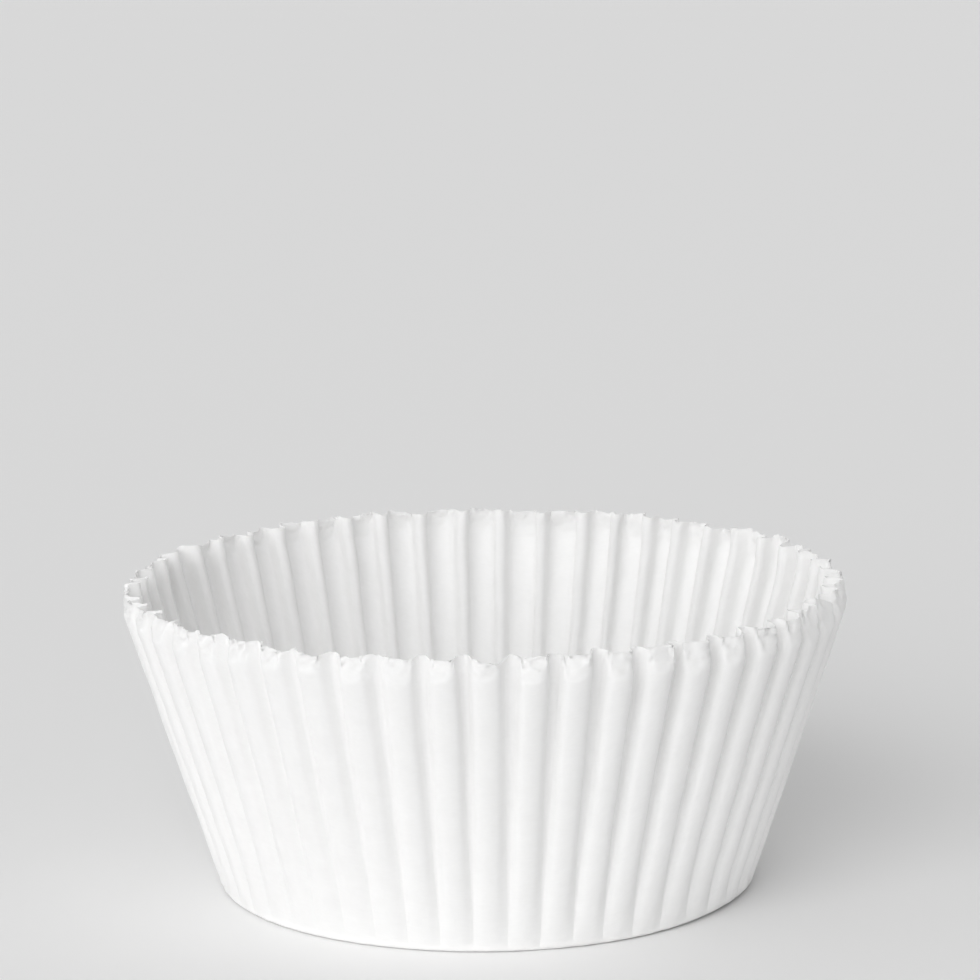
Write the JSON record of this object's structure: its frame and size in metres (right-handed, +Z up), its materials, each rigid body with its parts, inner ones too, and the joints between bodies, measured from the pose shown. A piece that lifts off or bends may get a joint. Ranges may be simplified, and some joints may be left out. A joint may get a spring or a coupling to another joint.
{
  "type": "cupcake liner",
  "caption": "Round pleated paper cup with a flat base, flaring fluted wall and open top, for holding batter while it bakes and the cake afterwards.",
  "frame": {"origin": "centre of the flat base's underside", "axes": "+Z up along the cup's axis, towards the open rim; +X through the middle of one pleat's crest"},
  "size_m": [0.0688, 0.0688, 0.0291],
  "materials": {
    "paper": "matt white baking paper with a faint soft sheen"
  },
  "bodies": {
    "root": {"liner": "paper"}
  },
  "joints": []
}
